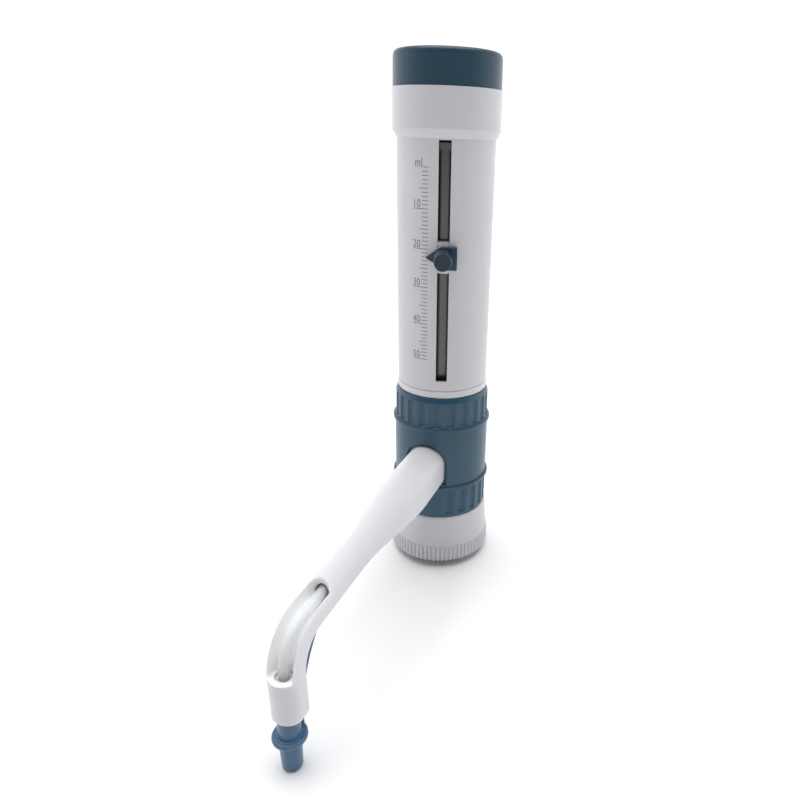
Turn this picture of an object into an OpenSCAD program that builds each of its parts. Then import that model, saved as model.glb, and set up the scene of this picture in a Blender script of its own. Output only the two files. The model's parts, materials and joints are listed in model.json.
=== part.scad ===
// Bottle-top dispenser that draws a set volume from a lab bottle and pushes it
// out through a side arm. Millimetres.
// The origin is the centre of the bottle thread's mouth and +Z is up.
// The slot of the outer sleeve faces -Y, and the arm leaves to the left of it.

/* [Clearances] */
// Gap per side of a shaft that turns or slides in its hole
shaft_gap = 0.08; // [0.02:0.01:0.1]
// Gap per side between moulded pieces that move past each other
slip_gap = 0.3; // [0.2:0.05:0.4]
// Gap between faces that turn or rest on each other
face_gap = 0.2; // [0.1:0.05:0.3]
// Gap per side between pieces that are pushed or screwed together
seat_gap = 0.1; // [0.05:0.01:0.15]

/* [Bottle adapter] */
// Wall radius of the bottle thread
thread_r = 22.6; // [21.5:0.1:23.5]
// Depth of the bottle thread
thread_depth = 16; // [12:0.5:20]
// Wall round the thread at the foot
foot_wall = 4.6; // [4:0.1:6]
// How much the outside narrows towards the top
adapter_taper = 1.8; // [0:0.1:2.2]
// Height from the end of the thread to the adapter's top face
shoulder_h = 10.5; // [8:0.5:14]
// Height of the knurled grip
grip_h = 9; // [5:0.5:10]
// Number of ribs in the grip
grip_ribs = 72; // [60:2:90]
// Depth of the grooves between the ribs
grip_depth = 0.6; // [0.3:0.05:0.8]
// Thickness of the flat gasket over the bottle mouth
bottle_gasket_h = 1.4; // [1:0.1:2]
// Width of that gasket from its hole to its edge
bottle_gasket_w = 5.8; // [4:0.1:6]

/* [Swivel] */
// Radius of the valve core's neck, which turns in the adapter
neck_r = 15; // [13.5:0.1:15.5]
// Wall of the adapter's spigot round the neck
spigot_wall = 3.4; // [2.5:0.1:3.8]
// Height of the spigot over the adapter's top face
spigot_h = 9.5; // [8:0.5:12]
// Height of the clip that holds the block down
clip_h = 1.9; // [1.2:0.1:2.5]
// How far the clip stands out from the spigot
clip_reach = 2.5; // [1.5:0.1:2.8]
// How deep the clip sits in its groove
clip_grip = 1.1; // [0.6:0.1:1.5]
// Opening of the clip, in degrees
clip_open = 40; // [20:1:70]
// Wire radius of the neck's O-ring
neck_ring_wire = 0.9; // [0.6:0.05:1.2]

/* [Fluted rings] */
// Outer radius of the swivel collar and the valve block
block_r = 24.8; // [24.4:0.1:26]
// Height of the swivel collar
collar_h = 16.8; // [15:0.1:20]
// Height of the collar's inner lip
collar_lip_h = 4; // [3:0.1:5]
// Outer radius of the ring nut
nut_r = 24.35; // [23.6:0.05:25]
// Height of the ring nut
nut_h = 18.1; // [16:0.1:20]
// Height of the nut's foot flange
nut_foot_h = 1.8; // [1.2:0.1:2.5]
// How far that flange stands out
nut_foot_reach = 1.45; // [0.8:0.05:1.8]
// Height of the nut's inner lip
nut_lip_h = 3.1; // [2:0.1:4]
// Number of flutes round a full ring
flutes = 22; // [16:1:28]
// Radius of the scoop that cuts a flute
flute_r = 1.5; // [1:0.1:2]
// Depth of a flute
flute_depth = 0.85; // [0.4:0.05:1.1]
// Flutes left out under the arm
plain_flutes = 5; // [0:1:8]
// Plain rim above and below the flutes
flute_rim = 1.7; // [1:0.1:2.2]
// Bevel at the ring nut's top edge
nut_edge = 0.6; // [0.3:0.1:0.9]
// Step from the valve core's radius in to the ring nut's bore
nut_step = 1; // [0.7:0.1:1.4]

/* [Valve block] */
// Height of the valve block's shell
shell_h = 32.7; // [30:0.1:38]
// Wall of the shell
shell_wall = 4.1; // [3.5:0.1:4.3]
// Height of the shell's foot lip
shell_lip_h = 1.5; // [1:0.1:2]
// How far that lip stands out
shell_lip_reach = 1.2; // [0.6:0.1:1.6]
// Height of the core's threaded collar inside the ring nut
core_collar_h = 12.2; // [10:0.1:12.5]
// Depth of the seat for the measuring cylinder in the core
cylinder_seat_depth = 10.9; // [8:0.1:11.5]
// Radius of the channels in the core
channel_r = 1.6; // [1.2:0.1:2]

/* [Inlet valve] */
// Radius of the socket for the suction tube
socket_r = 3; // [2.5:0.1:4]
// Depth of that socket
socket_depth = 12; // [8:0.5:13]
// Radius of the inlet valve's insert
insert_r = 6.5; // [5.5:0.1:8]
// Height of the insert
insert_h = 16.6; // [15.5:0.1:18]
// Radius of the inlet ball
inlet_ball_r = 2.4; // [2.1:0.1:2.6]
// How far the inlet ball lifts
inlet_lift = 1.2; // [0.8:0.1:1.5]
// Thickness of the ball stop
ball_stop_h = 1.4; // [1:0.1:2]
// Room round the inlet ball in its chamber
ball_room = 0.8; // [0.5:0.1:1]
// Radius of the four holes through the ball stop
stop_hole_r = 0.7; // [0.5:0.05:0.8]

/* [Measuring cylinder] */
// Bore radius of the measuring cylinder, which sets the height of one millilitre
cylinder_bore_r = 13.4; // [12.8:0.1:13.6]
// Wall of the measuring cylinder
cylinder_wall = 1.8; // [1.2:0.1:2]
// How far the cylinder's rim lies below the guard tube's top
rim_drop = 14.55; // [12:0.05:18]
// Thickness of the gasket under it
cylinder_gasket_h = 1.5; // [1:0.1:2]
// Wall of the guard tube round the cylinder
guard_wall = 1.7; // [1.2:0.1:1.8]
// Gap between the cylinder and the guard tube
guard_gap = 0.6; // [0.4:0.1:0.8]
// Thickness of the guard tube's foot flange
guard_foot_h = 2.7; // [2:0.1:3]
// Thickness of the stop ring on the guard tube
stop_ring_h = 3; // [2:0.1:4]
// Height of the stop ring's skirt inside the guard tube
stop_skirt_h = 7; // [5:0.5:9]
// Height of the seat ring under the sleeve
seat_ring_h = 3.9; // [3:0.1:5]
// How far the seat ring stands out from the sleeve
seat_ring_reach = 0.3; // [0:0.1:0.6]
// Wall of the seat ring's skirt round the guard tube
seat_skirt_wall = 0.9; // [0.7:0.1:1.4]
// How far the cylinder's gasket reaches in under its bore
gasket_lap = 2.4; // [1.5:0.1:3]
// How far the stop ring reaches in over the cylinder's bore
stop_ring_lap = 1.4; // [0.8:0.1:2]

/* [Sleeve and head] */
// Outer radius of the sliding sleeve
sleeve_r = 23; // [22.6:0.1:23.4]
// Wall of the sleeve
sleeve_wall = 1.5; // [1.2:0.1:1.7]
// Length of the sleeve
sleeve_h = 134.5; // [132.5:0.1:135.5]
// Width of the slot for the volume pointer
slot_w = 5.5; // [4.8:0.1:6.5]
// Height of the slot's foot over the sleeve's edge
slot_foot = 5.1; // [3:0.1:6]
// Length of the slot
slot_h = 110.9; // [108:0.1:112]
// Height from the sleeve's top edge down to the scale's zero mark
zero_drop = 29.65; // [29:0.05:31]
// Volume that the pointer is set to, in millilitres
set_ml = 22; // [5:1:48]
// Outer radius of the head
head_r = 25; // [24.6:0.1:26]
// Height of the head
head_h = 20.4; // [18.5:0.1:22]
// Height of the head's lower bevel
head_bevel_h = 3.7; // [2:0.1:5]
// How far the head reaches down over the sleeve's top edge
head_overlap = 17.8; // [16:0.1:19]
// Outer radius of the top cap
cap_r = 24.55; // [24:0.05:25.5]
// Height of the top cap
cap_h = 14.9; // [12:0.1:18]
// Radius of the cap's rounded edge
cap_round = 3; // [1.5:0.1:4]
// How much the cap narrows towards its top
cap_taper = 0.25; // [0:0.05:0.6]
// Thickness of the cap's top
cap_top_h = 3; // [2:0.1:4]
// Depth of the cap's spigot in the sleeve
cap_spigot_h = 8.6; // [6:0.1:10]
// Wall of that spigot
cap_spigot_wall = 2; // [1.5:0.1:3]
// Outer radius of the boss that holds the piston rod
cap_boss_r = 8.5; // [7:0.1:10]
// How far that boss hangs below the cap's foot
cap_boss_drop = 1; // [0.5:0.1:2]
// Solid height between the rod's end and the cap's top wall
rod_cover = 1; // [0.5:0.1:2]

/* [Piston] */
// Radius of the piston rod
rod_r = 4.5; // [3.5:0.1:5.5]
// Height of the rod's nut
rod_nut_h = 6; // [4:0.1:6.5]
// Corner radius of the rod's nut
rod_nut_r = 8; // [7:0.1:9]
// Height of the piston
piston_h = 12.7; // [11:0.1:15]
// Gap per side between the piston and the cylinder
piston_gap = 0.4; // [0.3:0.05:0.6]
// Height of the piston's seal
seal_h = 4; // [3:0.1:5]
// Height of the seal's groove over the piston's face
seal_foot = 3; // [2:0.1:4]
// Depth of the seal's groove
seal_groove = 2; // [1.5:0.1:3]
// Gap per side of the seal in the cylinder
seal_gap = 0.05; // [0.02:0.01:0.08]
// Height of the piston's boss round the rod
piston_boss_h = 5; // [3:0.1:7]
// Radius of that boss
piston_boss_r = 8; // [6.5:0.1:9]
// Depth of the rod's hole in the piston
rod_hole_h = 9; // [7:0.1:10]

/* [Volume pointer] */
// Half the width of the pointer plate
plate_half_w = 6.1; // [5.2:0.1:7]
// Height of the pointer plate
plate_h = 10.2; // [9.6:0.1:13]
// How far the plate's face stands out from the sleeve
plate_proud = 3; // [2.2:0.1:3.5]
// Corner radius of the plate
plate_round = 0.8; // [0.4:0.1:1.2]
// Length of the pointer tip beside the plate
tip_l = 2.6; // [1.5:0.1:3.5]
// Height of the pointer tip at its root
tip_h = 3.2; // [2:0.1:5]
// Thickness of the pointer tip
tip_t = 1.3; // [0.8:0.1:1.6]
// Half the width of the stop carrier inside the sleeve
carrier_half_w = 7.5; // [6:0.1:9]
// Height of the stop carrier
carrier_h = 14.2; // [12:0.1:15]
// Gap between the carrier at zero and the stop ring
stop_gap = 0.1; // [0.05:0.05:0.3]
// Radius of the clamp knob at its back
knob_r = 4.6; // [3.8:0.1:5]
// Radius of the clamp knob at its front
knob_front_r = 3.85; // [3:0.05:4.5]
// Length of the clamp knob
knob_l = 10; // [7:0.1:13]
// Radius of the knob's rounded front edge
knob_edge = 0.6; // [0.3:0.1:1]
// Length of the clamp screw inside the knob
screw_hold = 7; // [4:0.1:8]
// Radius of the clamp screw
screw_r = 1.5; // [1:0.1:2]
// Wall of the carrier behind the screw's end
screw_wall = 0.8; // [0.5:0.1:1.2]

/* [Arm] */
// Angle of the arm to the left of the slot
arm_turn = 18.7; // [0:0.1:90]
// How far inside the core's radius the arm's path starts
arm_inset = 2; // [1:0.1:4]
// Room round the tube's nut in the arm's root
nut_room = 0.6; // [0.3:0.1:1]
// Height of the arm's axis at its root, over the block's foot
arm_rise = 14.3; // [13:0.1:17]
// Fall of the arm's axis, in degrees
arm_fall = 1.5; // [0:0.1:4]
// Distance from the block's axis to the nozzle's axis
arm_reach = 156.7; // [130:0.1:180]
// Radius of the bend
bend_r = 16.25; // [15:0.05:20]
// Drop from the end of the bend to the nozzle block's foot
nozzle_drop = 17.8; // [14:0.1:22]
// Half the width of the arm at its root
root_w = 9.9; // [9:0.1:10.4]
// Depth of the arm's flat underside below its axis at the root
root_d = 9.8; // [9:0.1:10.4]
// Half the width of the arm in its slim stretch
slim_w = 6.3; // [5.8:0.1:8]
// Height of the arm's round back over its axis in the slim stretch
slim_h = 6.2; // [5:0.1:7.5]
// Depth of the underside in the slim stretch
slim_d = 4.6; // [4.4:0.1:7]
// Half the width of the nozzle block
nozzle_w = 6.25; // [5.5:0.05:8]
// Reach of the nozzle block's round front from its axis
nozzle_h = 5; // [4.4:0.1:6.5]
// Depth of the nozzle block's flat side behind its axis
nozzle_d = 5.2; // [4.1:0.1:6]
// Where the arm starts to narrow, from the block's axis
narrow_from = 46; // [35:1:60]
// Where the arm has its slim width
narrow_to = 108; // [90:1:120]
// Corner radius of the flat underside
edge_round = 1; // [0.5:0.1:1.5]
// Margin of the recess round the arm in the shell
port_rim = 1.4; // [0.8:0.1:2]
// Depth of that recess
port_recess = 0.9; // [0.4:0.1:1.2]
// Outer radius of the discharge tube
tube_r = 2; // [1.7:0.1:2.2]
// Wall of the discharge tube
tube_wall = 0.7; // [0.5:0.1:0.9]
// Bend radius of the discharge tube, which is tighter than the arm's
tube_bend_r = 13.4; // [12:0.1:14.5]
// Straight drop of the tube before it enters the nozzle
tube_drop = 2.6; // [2:0.1:4]
// Outer radius of the nut that holds the tube in the core
tube_nut_r = 5.5; // [5:0.1:6]
// Radius of that nut's stub in the core
tube_stub_r = 4; // [3.4:0.1:4.5]
// Length of the stub
tube_stub_l = 6.7; // [5:0.1:8]
// Length of the nut outside the core
tube_nut_l = 7.3; // [6:0.1:9]
// Radius of the tunnel that the tube runs in
tunnel_r = 3; // [2.7:0.1:3.3]
// Half the width of the open groove over the bend
groove_half_w = 4; // [3.4:0.1:4.2]
// Depth of the groove's floor below the tube's axis
groove_floor = 3.2; // [3:0.1:3.4]
// Length of the open groove before the bend
groove_run = 7.5; // [2:0.5:15]
// Height of the nozzle block, from its foot to the rim where the groove ends
nozzle_block_h = 19; // [17.5:0.1:20.5]

/* [Nozzle] */
// Outer radius of the nozzle
nozzle_r = 3; // [2.8:0.05:3]
// How far the nozzle stands out below its block
nozzle_out = 16.45; // [14:0.05:20]
// Bore radius of the nozzle's outlet
outlet_r = 1.1; // [0.8:0.1:1.4]
// Radius of the outlet valve's chamber
chamber_r = 2; // [1.8:0.05:2.1]
// Radius of the outlet ball
outlet_ball_r = 1.5; // [1.35:0.05:1.6]
// Length of the outlet valve's seat plug
seat_plug_h = 3; // [2:0.1:4]
// Depth of the tube's end in the nozzle
tube_end = 3; // [2:0.1:4]
// Free height of the outlet spring
spring_h = 6.3; // [5:0.1:7.5]
// Wire radius of the outlet spring
spring_wire = 0.2; // [0.15:0.01:0.25]
// Turns of the outlet spring
spring_turns = 4; // [3:1:5]
// Gap per side of the outlet spring in its chamber
spring_gap = 0.15; // [0.1:0.05:0.3]

/* [Nozzle cap] */
// Depth of the nozzle in its cap
cap_grip = 8; // [6:0.5:12]
// Wall of the nozzle cap
nozzle_cap_wall = 1.35; // [1:0.05:2]
// Length of the nozzle cap
nozzle_cap_l = 16.5; // [14:0.5:20]
// How much the nozzle cap narrows towards its end
nozzle_cap_taper = 0.5; // [0:0.05:0.8]
// Radius of the nozzle cap's round end
nozzle_cap_round = 1.6; // [0.8:0.1:2.2]
// Radius of the cap's flange
flange_r = 6.6; // [5.6:0.1:8]
// Thickness of the cap's flange
flange_h = 2.2; // [1.5:0.1:3]
// Gap between the top of the cap's hub and the nozzle block
hub_gap = 0.5; // [0.3:0.1:1]
// How much the hub narrows towards the nozzle block
hub_taper = 0.3; // [0:0.05:0.6]
// Width of the cap's strap
strap_w = 4.6; // [3:0.1:6]
// Thickness of the strap
strap_t = 1.1; // [0.8:0.1:1.5]
// Angle below the horizon at which the strap leaves its pad
strap_lean = 30; // [15:1:45]
// How far the strap runs out before it turns down
strap_lead = 14; // [10:0.5:16]
// Distance from the nozzle's axis back to the strap's anchor
strap_back = 26; // [22:0.1:28]
// Length of the strap's pad under the arm
strap_pad = 6; // [4:0.5:9]

/* [Hidden] */
$fn = 64;
EPS = 0.01;
FAR = 400;

WHITE = "#e6e6ea";
SLATE = "#3d5566";
CLEAR = "#dfe8ea";
RUBBER = "#33383c";
STEEL = "#b9bcc0";
SMOKE = "#5b5450";
BLUE = "#4a6480";

// Levels from the foot up
adapter_h = thread_depth + shoulder_h;
foot_r = thread_r + foot_wall;
gasket_r = neck_r + seat_gap + slip_gap;
gasket_top = thread_depth + bottle_gasket_h + seat_gap;
spigot_r = neck_r + shaft_gap + spigot_wall;
spigot_top = adapter_h + spigot_h;
collar_z = adapter_h + face_gap;
clip_z = collar_z + collar_lip_h + face_gap;
cavity_r = spigot_r + clip_reach + slip_gap;
block_z = collar_z + collar_h;
neck_z = thread_depth + 2 * face_gap;
core_r = block_r - shell_wall - seat_gap;
shell_top = block_z + shell_h;
nut_z = shell_top + face_gap;
nut_top = nut_z + nut_h;
nut_lip_z = nut_top - nut_lip_h;
cylinder_r = cylinder_bore_r + cylinder_wall;
guard_in = cylinder_r + guard_gap;
guard_r = guard_in + guard_wall;
nut_bore = core_r - nut_step;
core_collar_r = nut_bore - face_gap;
core_top = shell_top + core_collar_h;
guard_z = nut_lip_z - seat_gap - guard_foot_h;
gasket_z = core_top - cylinder_seat_depth;
cylinder_z = gasket_z + cylinder_gasket_h;
seat_top = nut_top + seat_ring_h;
skirt_r = guard_r + seat_gap + seat_skirt_wall;

// Sleeve, scale and stops
sleeve_z = seat_top + seat_gap;
sleeve_in = sleeve_r - sleeve_wall;
sleeve_top = sleeve_z + sleeve_h;
slot_z = sleeve_z + slot_foot;
zero_z = sleeve_top - zero_drop;
ml_h = 1000 / (PI * cylinder_bore_r * cylinder_bore_r);
pointer_z = zero_z - set_ml * ml_h;
guard_top = zero_z + carrier_h / 2 + stop_gap;
cylinder_h = guard_top - rim_drop - cylinder_z;
carrier_in = guard_r + slip_gap + seat_gap;
head_z = sleeve_top - head_overlap;
head_top = head_z + head_h;
cap_top = head_top + cap_h;
rod_nut_z = head_top - cap_boss_drop - rod_nut_h - seat_gap;
rod_top = cap_top - cap_top_h - rod_cover;
piston_z = cylinder_z + slip_gap;
piston_r = cylinder_bore_r - piston_gap;
seal_z = piston_z + seal_foot;
rod_z = piston_z + piston_h + piston_boss_h - rod_hole_h;

// Inlet valve
insert_top = neck_z + insert_h;
inlet_ball_z = insert_top + sqrt(inlet_ball_r * inlet_ball_r - channel_r * channel_r) + 0.02;
ball_chamber_r = inlet_ball_r + ball_room;
ball_stop_z = inlet_ball_z + inlet_ball_r + inlet_lift + seat_gap;
ball_chamber_top = ball_stop_z + ball_stop_h;

// Arm path: a falling straight run, a round bend and a drop to the nozzle
arm_z = block_z + arm_rise;
arm_start = core_r - arm_inset;
bend_x = arm_reach - bend_r * (1 - sin(arm_fall));
bend_z = arm_z - (bend_x - arm_start) * tan(arm_fall);
bend_centre = [bend_x - bend_r * sin(arm_fall), bend_z - bend_r * cos(arm_fall)];
run_l = (bend_x - arm_start) / cos(arm_fall);
bend_l = bend_r * (90 - arm_fall) * PI / 180;
path_l = run_l + bend_l + nozzle_drop;
nozzle_foot = bend_centre[1] - nozzle_drop;
nozzle_rim = nozzle_foot + nozzle_block_h;
tube_bend_x = arm_reach - tube_bend_r * (1 - sin(arm_fall));
tube_bend_z = arm_z - (tube_bend_x - arm_start) * tan(arm_fall);
tube_centre = [tube_bend_x - tube_bend_r * sin(arm_fall), tube_bend_z - tube_bend_r * cos(arm_fall)];
nut_in = core_r - tube_stub_l;
nut_out = core_r + tube_nut_l;
nut_face = core_r + seat_gap + tube_nut_r * tan(arm_fall);

// Nozzle and its valve
nozzle_top = tube_centre[1] - tube_drop;
nozzle_end = nozzle_foot - nozzle_out;
tube_foot = nozzle_top - tube_end;
plug_z = tube_foot - seat_gap - seat_plug_h;
outlet_ball_z = plug_z - sqrt(outlet_ball_r * outlet_ball_r - outlet_r * outlet_r) - 0.02;
spring_top = outlet_ball_z - outlet_ball_r - 0.05;
spring_foot = spring_top - spring_h;
cap_rim = nozzle_end + cap_grip;
cap_bore = nozzle_r + shaft_gap;
cap_body_r = cap_bore + nozzle_cap_wall;
hub_h = nozzle_foot - hub_gap - cap_rim;
strap_x = arm_reach - strap_back;
strap_top = [strap_x, arm_axis_z(strap_x) - slim_d - seat_gap - strap_t / 2];
strap_out = strap_top + strap_lead * [cos(strap_lean), -sin(strap_lean)];
strap_end = [arm_reach - flange_r - face_gap - strap_t / 2, cap_rim - flange_h];
strap_over = strap_end + [0, strap_lead];

function smooth(a, b, t) = let (u = max(0, min(1, t))) a + (b - a) * u * u * (3 - 2 * u);
function arm_axis_z(x) = arm_z - (x - arm_start) * tan(arm_fall);

// Point of the arm's axis, its heading below the horizon and the sizes of its section
function bend_turn(s) = arm_fall + max(0, min(1, (s - run_l) / bend_l)) * (90 - arm_fall);
function arm_point(s) =
    s <= run_l ? [arm_start + s * cos(arm_fall), arm_z - s * sin(arm_fall)] :
    s <= run_l + bend_l ? bend_centre + bend_r * [sin(bend_turn(s)), cos(bend_turn(s))] :
    [arm_reach, bend_centre[1] - (s - run_l - bend_l)];
function arm_size(s, root, slim, end) =
    s < run_l ? smooth(root, slim, (s + arm_start - narrow_from) / (narrow_to - narrow_from)) :
    smooth(slim, end, (s - run_l) / (path_l - run_l));

// Outline of the arm's section: a round back over a flat underside
function arm_section(w, h, d) = concat(
    [for (a = [0 : 15 : 180]) [w * cos(a), h * sin(a)]],
    [for (a = [180 : 30 : 270]) [-w + edge_round + edge_round * cos(a), -d + edge_round + edge_round * sin(a)]],
    [for (a = [270 : 30 : 360]) [w - edge_round + edge_round * cos(a), -d + edge_round + edge_round * sin(a)]]);
function arm_ring(s) = let (
    p = arm_point(s), turn = bend_turn(s),
    outline = arm_section(arm_size(s, root_w, slim_w, nozzle_w), arm_size(s, root_w, slim_h, nozzle_h),
        arm_size(s, root_d, slim_d, nozzle_d)))
    [for (q = outline) [p[0] + q[1] * sin(turn), q[0], p[1] + q[1] * cos(turn)]];

module at_arm() {
    rotate([0, 0, -90 - arm_turn]) children();
}

module at_arm_run() {
    at_arm() translate([arm_start, 0, arm_z]) rotate([0, 90 + arm_fall, 0]) children();
}

module tube(r, bore, h) {
    rotate_extrude() translate([bore, 0]) square([r - bore, h]);
}

// Scoops that cut the flutes of a ring, with skip of them left out round the skip_at direction
module flute_scoops(r, z, h, skip, skip_at) {
    for (i = [0 : flutes - 1 - skip])
        rotate([0, 0, skip_at + (i + (skip + 1) / 2) * 360 / flutes])
            translate([r + flute_r - flute_depth, 0, z]) cylinder(r = flute_r, h = h);
}

// Outline of the knurled grip: flat ribs between narrow grooves
function grip_outline(r) = [for (i = [0 : grip_ribs - 1], k = [0 : 3])
    let (a = (i + [0, 0.5, 0.62, 0.88][k]) * 360 / grip_ribs, q = k < 2 ? r : r - grip_depth)
    [q * cos(a), q * sin(a)]];

module bottle_adapter() {
    grip_top_r = foot_r - adapter_taper * grip_h / adapter_h;
    color(WHITE) difference() {
        union() {
            linear_extrude(grip_h) polygon(grip_outline(foot_r));
            translate([0, 0, grip_h]) rotate_extrude() polygon([
                [0, 0], [grip_top_r, 0], [foot_r - adapter_taper, shoulder_top_edge()],
                [foot_r - adapter_taper - 0.6, adapter_h - grip_h], [0, adapter_h - grip_h]]);
            cylinder(r = spigot_r, h = spigot_top);
        }
        translate([0, 0, -1]) cylinder(r = thread_r, h = thread_depth + 1);
        cylinder(r = gasket_r + bottle_gasket_w + seat_gap, h = gasket_top);
        cylinder(r = neck_r + shaft_gap, h = spigot_top + 1);
        translate([0, 0, clip_z - seat_gap])
            tube(spigot_r + 1, spigot_r - clip_grip - seat_gap, clip_h + 2 * seat_gap);
    }
}
function shoulder_top_edge() = adapter_h - grip_h - 0.6;

module bottle_gasket() {
    color(RUBBER) translate([0, 0, thread_depth]) tube(gasket_r + bottle_gasket_w, gasket_r, bottle_gasket_h);
}

module retaining_clip() {
    color(STEEL) translate([0, 0, clip_z]) rotate([0, 0, 90 + clip_open / 2])
        rotate_extrude(angle = 360 - clip_open)
            translate([spigot_r - clip_grip, 0]) square([clip_grip + clip_reach, clip_h]);
}

module swivel_collar() {
    color(SLATE) difference() {
        translate([0, 0, collar_z]) cylinder(r = block_r, h = collar_h);
        translate([0, 0, collar_z - 1]) cylinder(r = spigot_r + slip_gap, h = collar_h + 2);
        translate([0, 0, collar_z + collar_lip_h]) cylinder(r = cavity_r, h = collar_h);
        flute_scoops(block_r, collar_z + flute_rim, collar_h - 2 * flute_rim, plain_flutes, -90 - arm_turn);
    }
}

module valve_core() {
    color(WHITE) difference() {
        union() {
            translate([0, 0, neck_z]) cylinder(r = neck_r, h = block_z - neck_z);
            translate([0, 0, spigot_top + face_gap])
                cylinder(r = cavity_r - seat_gap, h = block_z - spigot_top - face_gap);
            translate([0, 0, block_z - EPS]) cylinder(r = core_r, h = shell_h + EPS);
            translate([0, 0, shell_top - 1]) cylinder(r = core_collar_r, h = core_collar_h + 1);
        }
        translate([0, 0, gasket_z]) cylinder(r = cylinder_r + seat_gap, h = cylinder_seat_depth + 1);
        translate([0, 0, neck_z - 1]) cylinder(r = insert_r + seat_gap, h = insert_h + 1);
        translate([0, 0, neck_z]) cylinder(r = ball_chamber_r, h = ball_chamber_top - neck_z);
        translate([0, 0, neck_z]) cylinder(r = channel_r, h = gasket_z - neck_z + 1);
        translate([0, 0, neck_ring_z() - neck_ring_wire - seat_gap])
            tube(neck_r + 1, neck_r - 2 * neck_ring_wire - seat_gap, 2 * (neck_ring_wire + seat_gap));
        at_arm() translate([0, 0, arm_axis_z(0)]) rotate([0, 90 + arm_fall, 0]) {
            cylinder(r = channel_r, h = core_r + 5);
            translate([0, 0, nut_in - seat_gap]) cylinder(r = tube_stub_r + seat_gap, h = core_r);
        }
    }
}
function neck_ring_z() = (gasket_top + adapter_h) / 2;

module neck_o_ring() {
    color(RUBBER) translate([0, 0, neck_ring_z()]) rotate_extrude()
        translate([neck_r - neck_ring_wire, 0]) circle(r = neck_ring_wire, $fn = 24);
}

// Section of the arm at its root, grown by a margin
module root_profile(margin) {
    circle(r = root_w + margin);
    translate([-root_w - margin, -root_d - margin]) square([2 * (root_w + margin), root_d + margin]);
}

module block_shell() {
    color(SLATE) difference() {
        union() {
            translate([0, 0, block_z]) cylinder(r = block_r, h = shell_h);
            translate([0, 0, block_z]) rotate_extrude() polygon([
                [core_r + 1, 0], [block_r + shell_lip_reach - 0.3, 0], [block_r + shell_lip_reach, 0.3],
                [block_r + shell_lip_reach, shell_lip_h - 0.4], [block_r, shell_lip_h],
                [core_r + 1, shell_lip_h]]);
        }
        translate([0, 0, block_z - 1]) cylinder(r = core_r + seat_gap, h = shell_h + 2);
        at_arm_run() rotate([0, 0, 90]) linear_extrude(block_r) root_profile(face_gap);
        intersection() {
            at_arm_run() rotate([0, 0, 90]) linear_extrude(block_r) root_profile(port_rim);
            translate([0, 0, block_z + shell_lip_h]) tube(block_r + 5, block_r - port_recess, shell_h);
        }
    }
}

module inlet_insert() {
    color(WHITE) translate([0, 0, neck_z]) difference() {
        cylinder(r = insert_r, h = insert_h);
        translate([0, 0, -1]) cylinder(r = socket_r, h = socket_depth + 1);
        cylinder(r = channel_r, h = insert_h + 1);
    }
}

module inlet_ball() {
    color("#f4efe2") translate([0, 0, inlet_ball_z]) sphere(r = inlet_ball_r);
}

module inlet_ball_stop() {
    color(WHITE) translate([0, 0, ball_stop_z]) difference() {
        cylinder(r = ball_chamber_r - seat_gap, h = ball_stop_h);
        for (a = [0 : 90 : 270])
            rotate([0, 0, a]) translate([channel_r, 0, -1]) cylinder(r = stop_hole_r, h = ball_stop_h + 2);
    }
}

module cylinder_gasket() {
    color(RUBBER) translate([0, 0, gasket_z]) tube(cylinder_r, cylinder_bore_r - gasket_lap, cylinder_gasket_h);
}

module measuring_cylinder() {
    color(CLEAR) translate([0, 0, cylinder_z]) tube(cylinder_r, cylinder_bore_r, cylinder_h);
}

module cylinder_guard() {
    color(SMOKE) translate([0, 0, guard_z]) {
        tube(guard_r, guard_in, guard_top - guard_z);
        tube(core_collar_r, guard_r - EPS, guard_foot_h);
    }
}

module lift_stop_ring() {
    ring_in = cylinder_bore_r - stop_ring_lap;
    color(SMOKE) difference() {
        union() {
            translate([0, 0, guard_top]) cylinder(r = sleeve_in - slip_gap - face_gap, h = stop_ring_h);
            translate([0, 0, guard_top - stop_skirt_h]) cylinder(r = guard_in - seat_gap, h = stop_skirt_h + 1);
        }
        translate([0, 0, guard_top - stop_skirt_h - 1])
            cylinder(r = ring_in, h = stop_skirt_h + stop_ring_h + 2);
    }
}

module ring_nut() {
    color(SLATE) difference() {
        translate([0, 0, nut_z]) rotate_extrude() polygon([
            [nut_bore, 0], [nut_r + nut_foot_reach - 0.4, 0], [nut_r + nut_foot_reach, 0.4],
            [nut_r + nut_foot_reach, nut_foot_h - 0.5], [nut_r, nut_foot_h],
            [nut_r, nut_h - nut_edge], [nut_r - nut_edge, nut_h], [skirt_r + seat_gap, nut_h],
            [skirt_r + seat_gap, nut_h - nut_lip_h], [nut_bore, nut_h - nut_lip_h]]);
        flute_scoops(nut_r, nut_z + nut_foot_h + seat_gap, nut_h - nut_foot_h - 2 * flute_rim, 0, 0);
    }
}

module seat_ring() {
    edge_r = sleeve_r + seat_ring_reach;
    skirt_z = nut_lip_z + seat_gap - nut_top;
    color(WHITE) translate([0, 0, nut_top]) rotate_extrude() polygon([
        [guard_r + seat_gap, skirt_z], [skirt_r, skirt_z], [skirt_r, 0], [edge_r - 0.7, 0], [edge_r, 0.7],
        [edge_r, seat_ring_h - 0.5], [edge_r - 0.5, seat_ring_h], [guard_r + seat_gap, seat_ring_h]]);
}

module tube_nut() {
    color(WHITE) at_arm() translate([0, 0, arm_axis_z(0)]) rotate([0, 90 + arm_fall, 0]) difference() {
        union() {
            translate([0, 0, nut_in]) cylinder(r = tube_stub_r, h = nut_out - nut_in);
            translate([0, 0, nut_face]) cylinder(r = tube_nut_r, h = nut_out - nut_face);
        }
        translate([0, 0, nut_in - 1]) cylinder(r = tube_r + seat_gap, h = nut_out - nut_in + 2);
    }
}

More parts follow.
